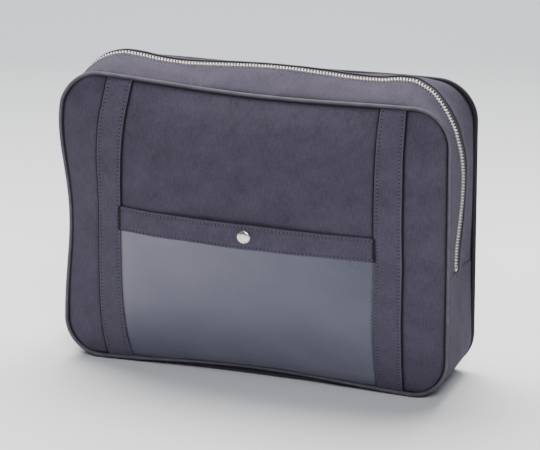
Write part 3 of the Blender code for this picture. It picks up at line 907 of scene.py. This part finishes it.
def band_half(name, hand, nodes):
    tall = BAND_HIGH - BAND_LOW

    def place(u, v):
        x = (POCKET_REACH + 0.002) * (u if hand > 0 else u - 1)
        up = tall * (v - 0.5)
        lift = band_lift(x) + strap_lift(up, tall)
        # ends feeds painted shade where the band goes under a strap and a painted highlight on its folded edges
        ends = (max(POCKET_REACH - abs(x), 0), tall / 2 - abs(up))
        return on_front(x, BAND_LOW + tall * v - band_droop(x), lift), (x, up), ends

    return cloth(
        name, place, 70, 26, FINISH["webbing"], with_band(), nodes, WEB, (POCKET_REACH, tall)
    )


def band_stitches(name, hand):
    tall = BAND_HIGH - BAND_LOW

    def route_at(up):
        def route(part):
            x = hand * POCKET_REACH * (1 - part)
            return on_front(x, BAND_LOW + tall / 2 + up - band_droop(x), band_lift(x) + WEB - 0.0002)

        return route

    routes = [(route_at(side * (tall / 2 - SEAM_IN)), forwards) for side in (-1, 1)]
    return rows_of_stitches(name, routes, with_band())


def window_half(name, hand, nodes):
    low, high = BOTTOM + 0.0016, BAND_LOW + VINYL_TUCK

    def place(u, v):
        x = (POCKET_REACH + 0.004) * (u if hand > 0 else u - 1)
        z = low + (high - low) * v - band_droop(x) * v
        loose = 0.0006 * noise.noise(Vector((x * 26, z * 15, 4.0)))
        from_strap = POCKET_REACH - abs(x)
        gap = max(from_strap, 0)
        lift = 0.0012 - 0.0006 * near(gap, 0.004) + (loose + 0.0007) * (1 - near(gap, 0.006))
        drawn = (band_lift(x) - band_lift(POCKET_REACH)) * v**3 * 0.9
        # The edges map's first value feeds the vinyl's painted shadow at the straps and the foot
        return on_front(x, z, lift + drawn), (x, z), (max(min(from_strap, z - low), 0), 1)

    shape = grid_shape(place, 110, 110)
    piece = finished(name, shape, FINISH["vinyl"], with_window(), nodes)
    return piece


def snap():
    """The press stud: a cap and a socket on the band, a stud and a rivet's head on the panel."""
    face = on_front(SNAP_X, SNAP_Z)
    band_back = on_front(SNAP_X, SNAP_Z, band_lift(SNAP_X))
    parts = (
        ("snap_cap", CAP_PROFILE, band_back, 0.0001 - WEB, "cap", "pocket_mouth"),
        ("snap_socket", SOCKET_PROFILE, band_back, 0.0003, "nickel", "pocket_mouth"),
        ("snap_stud", STUD_PROFILE, face, -0.0002, "nickel", "root"),
        ("snap_rivet", RIVET_PROFILE, face, CLOTH + 0.0003, "nickel", "root"),
    )
    for node, profile, base, behind, finish, body in parts:
        turned(f"{node}_metal", rounded(profile), base + Vector((0, behind, 0)), FINISH[finish], body, (node,))


def seam_stitches():
    """Rows beside the chain on both gusset strips, and across the laps at the zip's ends."""
    start = up_side(ZIP_END + 0.002)
    for name, side, body in (("stitching_strip_front", -1, "root"), ("stitching_strip_back", 1, over_fold)):
        y = side * (STRIP_EDGE[side] + SEAM_IN)

        def route(part, y=y):
            return on_gusset(start + (AROUND - 2 * start) * part, y, 0.0003)

        rows_of_stitches(name, [(route, outward)], body)
    laps = []
    for hand in (1, -1):
        distance = hand * up_side(ZIP_END - SEAM_IN)

        def lap(part, distance=distance):
            return on_gusset(distance, 0.037 * (2 * part - 1), 0.0003)

        laps.append((lap, outward))
    rows_of_stitches("stitching_laps", laps, "root")


# The studio


def studio():
    """A sheet of paper that runs back along the floor, bends up and rises behind the bag."""
    floor_long, wall_tall, bend_step = 12, 6, 3.4 * 0.26
    bend = [Vector((0, cos(turn), sin(turn))) * bend_step for turn in np.linspace(0.1, 1.5, 9)]
    shape = bmesh.new()
    rim = [shape.verts.new((-6, -7, 0)), shape.verts.new((6, -7, 0))]
    sweep = [shape.edges.new(rim)]
    for step in (Vector((0, floor_long, 0)), *bend, Vector((0, 0, wall_tall))):
        grown = bmesh.ops.extrude_edge_only(shape, edges=sweep)["geom"]
        sweep = [item for item in grown if isinstance(item, bmesh.types.BMEdge)]
        corners = [item for item in grown if isinstance(item, bmesh.types.BMVert)]
        bmesh.ops.translate(shape, vec=step, verts=corners)
    bmesh.ops.recalc_face_normals(shape, faces=shape.faces)
    mesh = bpy.data.meshes.new("studio_floor")
    shape.to_mesh(mesh)
    shape.free()
    mesh.shade_smooth()
    mesh.materials.append(studio_floor())
    floor_sheet = bpy.data.objects.new("studio_floor", mesh)
    bpy.context.scene.collection.objects.link(floor_sheet)


def softbox(name, place, aim, size, power, colour=(1, 1, 1)):
    light = bpy.data.lights.new(name, "AREA")
    light.shape, light.size, light.size_y = "RECTANGLE", *size
    light.energy, light.color = power, colour
    lamp = bpy.data.objects.new(name, light)
    bpy.context.scene.collection.objects.link(lamp)
    lamp.location = place
    lamp.rotation_euler = (Vector(aim) - Vector(place)).to_track_quat("-Z", "Y").to_euler()


def lights_and_camera():
    softbox("overhead", (-0.4, 0.9, 2.3), (0, 0, 0.1), (2.4, 1.6), 170, (1.0, 0.97, 0.925))
    softbox("front", (1.25, -2.6, 2.5), (0, 0, 0.15), (1.4, 1.4), 70, (0.98, 0.97, 1.0))
    world = bpy.data.worlds.new("studio")
    world.use_nodes = True
    world.node_tree.nodes["Background"].inputs["Color"].default_value = (0.86, 0.86, 0.90, 1)
    world.node_tree.nodes["Background"].inputs["Strength"].default_value = 0.15
    bpy.context.scene.world = world
    azimuth, elevation, roll = (radians(angle) for angle in (AZIMUTH, ELEVATION, ROLL))
    back = Vector((sin(azimuth) * cos(elevation), -cos(azimuth) * cos(elevation), sin(elevation)))
    lens = bpy.data.cameras.new("camera")
    lens.lens, lens.sensor_width, lens.clip_end = LENS, SENSOR, 60
    camera = bpy.data.objects.new("camera", lens)
    bpy.context.scene.collection.objects.link(camera)
    camera.rotation_mode = "QUATERNION"
    camera.location = Vector(AIM) + back * DISTANCE
    turn = (-back).to_track_quat("-Z", "Y").to_matrix() @ Matrix.Rotation(roll, 3, "Z")
    camera.rotation_quaternion = turn.to_quaternion()
    bpy.context.scene.camera = camera


FINISH = {
    "canvas": canvas("canvas", (0.030, 0.026, 0.041), (0.098, 0.087, 0.130)),
    "webbing": canvas("strap canvas", (0.034, 0.029, 0.046), (0.104, 0.093, 0.138), pitch=0.00070),
    "lining": canvas(
        "binding tape", (0.020, 0.018, 0.026), (0.056, 0.052, 0.070), pitch=0.00045, depth=0.00012
    ),
    "piping": piping_canvas(),
    "tape": zip_tape_cloth(),
    "thread": thread(),
    "hole": needle_hole(),
    "vinyl": vinyl(),
    "nickel": nickel("nickel plate", (0.74, 0.72, 0.67), 0.22),
    "cap": nickel("polished nickel", (0.86, 0.84, 0.79), 0.20, 0.25),
    "teeth": nickel("bright teeth", (0.97, 0.97, 0.96), 0.30, 0.3, 0.45),
}


def main():
    studio()
    lights_and_camera()
    front_nodes = ("front_panel",)
    panel("front_panel_cloth", lambda x, z: on_front(x, z, beside_straps(x)), False, "root", front_nodes)
    back_nodes = [f"back_panel_{part}" for part in ("lower", "fold", "upper")]
    panel("back_panel_cloth", on_back, True, over_fold, back_nodes)
    bottom_gusset()
    gusset_strip("gusset_strip_front_cloth", -1, "root", ("gusset_strip_front",))
    gusset_strip(
        "gusset_strip_back_cloth", 1, over_fold, ("gusset_strip_back", "gusset_fold_left", "gusset_fold_right")
    )
    piping("front_piping_cord", -1, "root", ("front_piping",))
    piping_nodes = [f"back_piping_{part}" for part in ("lower", "fold_left", "fold_right", "upper")]
    piping("back_piping_cord", 1, over_fold, piping_nodes)
    binding("seam_binding_front_tape", -1, "root", ("seam_binding_front",))
    binding("seam_binding_back_tape", 1, over_fold, ("seam_binding_back_lower", "seam_binding_back_upper"))
    zip_tape("zip_tape_front_cloth", -1, "root", ("zip_tape_front",))
    zip_tape("zip_tape_back_cloth", 1, over_fold, ("zip_tape_back",))
    zip_teeth("zip_teeth_front_metal", -1, "root", ("zip_teeth_front",))
    zip_teeth("zip_teeth_back_metal", 1, over_fold, ("zip_teeth_back",))
    for name, x in (("strap_left", -STRAP_X), ("strap_right", STRAP_X)):
        strap(f"{name}_cloth", x, name)
        strap_stitches(f"{name}_stitching", x)
    for hand, word in ((-1, "left"), (1, "right")):
        window_half(f"pocket_window_{word}", hand, ("pocket_window",))
        band_half(f"pocket_band_{word}", hand, ("pocket_band",))
        band_stitches(f"pocket_band_stitching_{word}", hand)
    snap()
    seam_stitches()
    for node in FRAME_METAL:
        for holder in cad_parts[node].material_slots:
            holder.material = FINISH["nickel"]


main()
